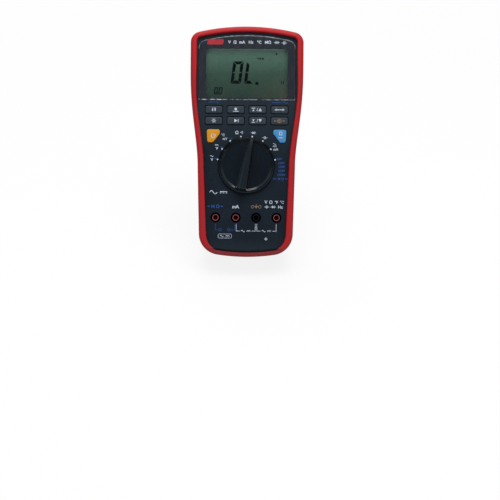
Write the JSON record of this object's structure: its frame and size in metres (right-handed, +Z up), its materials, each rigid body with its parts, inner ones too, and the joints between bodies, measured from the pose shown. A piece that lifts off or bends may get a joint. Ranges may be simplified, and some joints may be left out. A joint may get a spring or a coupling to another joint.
{
  "type": "insulation multimeter",
  "caption": "Handheld insulation multimeter in a rubber boot with display window, keypad, rotary selector, input jacks and a rear tilt stand, leaning back on the open stand.",
  "frame": {"origin": "on the floor under the middle of the overall box, with the meter leaning back on its open stand", "axes": "+Z up; the face looks towards -Y and up, leaned 60 degrees from the floor; +X to the right as seen from the front"},
  "size_m": [0.1054, 0.1455, 0.2068],
  "materials": {
    "boot_rubber": "smooth moulded elastomer, satin",
    "panel_plastic": "fine spark-eroded grain",
    "rear_plastic": "fine spark-eroded grain",
    "window_clear": "clear polycarbonate with a dark printed border",
    "frame_white": "moulded",
    "lcd_green": "grey-green liquid crystal glass",
    "light_guide": "clear acrylic",
    "connector_rubber": "striped elastomer",
    "board_green": "solder mask",
    "mat_silicone": "silicone",
    "key_yellow": "moulded",
    "key_blue": "moulded",
    "knob_black": "satin moulded",
    "rotor_nylon": "natural nylon",
    "contact_brass": "gold flash",
    "screw_steel": "zinc plated",
    "spring_steel": "spring steel",
    "jack_red": "moulded",
    "jack_black": "moulded",
    "fuse_ceramic": "ceramic tube with plated caps",
    "ferrite": "ferrite",
    "winding_tape": "wound and taped",
    "capacitor_shell": "dipped",
    "relay_white": "moulded",
    "chip_black": "moulded",
    "surge_blue": "dipped",
    "plate_steel": "nickel plated",
    "stand_plastic": "moulded",
    "cell_wrap": "plain printed sleeve",
    "key_grey": "moulded silicone"
  },
  "bodies": {
    "meter": {"holster": "boot_rubber", "front_case": "panel_plastic", "rear_case": "rear_plastic", "display_window": "window_clear", "lcd_frame": "frame_white", "lcd_glass": "lcd_green", "backlight": "light_guide", "display_connector": "connector_rubber", "main_board": "board_green", "keypad_mat": "mat_silicone", "detent_spring": "spring_steel", "detent_roller": "spring_steel", "insulation_jack": "jack_red", "milliamp_jack": "jack_red", "common_jack": "jack_black", "volt_jack": "jack_red", "insulation_contact": "contact_brass", "milliamp_contact": "contact_brass", "common_contact": "contact_brass", "volt_contact": "contact_brass", "fuse": "fuse_ceramic", "fuse_clips": "contact_brass", "transformer_core": "ferrite", "transformer_bobbin": "winding_tape", "film_capacitors": "capacitor_shell", "relays": "relay_white", "buzzer": "chip_black", "surge_absorbers": "surge_blue", "chips": "chip_black", "input_resistors": "surge_blue", "battery_1": "cell_wrap", "battery_2": "cell_wrap", "battery_3": "cell_wrap", "battery_4": "cell_wrap", "battery_contacts": "plate_steel", "supply_pins": "contact_brass", "battery_cover": "rear_plastic", "cover_screws": "screw_steel", "case_screws": "screw_steel", "board_screws": "screw_steel", "stand_pin": "spring_steel"},
    "selector": {"selector_knob": "knob_black", "selector_rotor": "rotor_nylon", "wiper_contacts": "contact_brass", "rotor_screw": "screw_steel"},
    "stand": {"tilt_stand": "stand_plastic"},
    "upper_key_1_cap": {"upper_key_1": "key_grey"},
    "upper_key_2_cap": {"upper_key_2": "key_grey"},
    "upper_key_3_cap": {"upper_key_3": "key_grey"},
    "upper_key_4_cap": {"upper_key_4": "key_grey"},
    "lower_key_1_cap": {"lower_key_1": "key_grey"},
    "lower_key_2_cap": {"lower_key_2": "key_grey"},
    "lower_key_3_cap": {"lower_key_3": "key_grey"},
    "lower_key_4_cap": {"lower_key_4": "key_grey"},
    "yellow_key_cap": {"yellow_key": "key_yellow"},
    "blue_key_cap": {"blue_key": "key_blue"}
  },
  "joints": [
    {"name": "selector_turn", "type": "hinge", "parent": "meter", "child": "selector", "pos_m": [0, -0.02826, 0.09421], "axis": [0, -0.866, 0.5], "range_deg": [-67.5, 90]},
    {"name": "stand_hinge", "type": "hinge", "parent": "meter", "child": "stand", "pos_m": [0, 0.02476, 0.10806], "axis": [1, 0, 0], "range_deg": [-45, 0]},
    {"name": "upper_key_1_press", "type": "slide", "parent": "meter", "child": "upper_key_1_cap", "axis": [0, 0.866, -0.5], "range_m": [0, 0.001], "stiffness_N_per_m": 1500, "springref_m": -0.0004},
    {"name": "upper_key_2_press", "type": "slide", "parent": "meter", "child": "upper_key_2_cap", "axis": [0, 0.866, -0.5], "range_m": [0, 0.001], "stiffness_N_per_m": 1500, "springref_m": -0.0004},
    {"name": "upper_key_3_press", "type": "slide", "parent": "meter", "child": "upper_key_3_cap", "axis": [0, 0.866, -0.5], "range_m": [0, 0.001], "stiffness_N_per_m": 1500, "springref_m": -0.0004},
    {"name": "upper_key_4_press", "type": "slide", "parent": "meter", "child": "upper_key_4_cap", "axis": [0, 0.866, -0.5], "range_m": [0, 0.001], "stiffness_N_per_m": 1500, "springref_m": -0.0004},
    {"name": "lower_key_1_press", "type": "slide", "parent": "meter", "child": "lower_key_1_cap", "axis": [0, 0.866, -0.5], "range_m": [0, 0.001], "stiffness_N_per_m": 1500, "springref_m": -0.0004},
    {"name": "lower_key_2_press", "type": "slide", "parent": "meter", "child": "lower_key_2_cap", "axis": [0, 0.866, -0.5], "range_m": [0, 0.001], "stiffness_N_per_m": 1500, "springref_m": -0.0004},
    {"name": "lower_key_3_press", "type": "slide", "parent": "meter", "child": "lower_key_3_cap", "axis": [0, 0.866, -0.5], "range_m": [0, 0.001], "stiffness_N_per_m": 1500, "springref_m": -0.0004},
    {"name": "lower_key_4_press", "type": "slide", "parent": "meter", "child": "lower_key_4_cap", "axis": [0, 0.866, -0.5], "range_m": [0, 0.001], "stiffness_N_per_m": 1500, "springref_m": -0.0004},
    {"name": "yellow_key_press", "type": "slide", "parent": "meter", "child": "yellow_key_cap", "axis": [0, 0.866, -0.5], "range_m": [0, 0.001], "stiffness_N_per_m": 1500, "springref_m": -0.0004},
    {"name": "blue_key_press", "type": "slide", "parent": "meter", "child": "blue_key_cap", "axis": [0, 0.866, -0.5], "range_m": [0, 0.001], "stiffness_N_per_m": 1500, "springref_m": -0.0004}
  ]
}
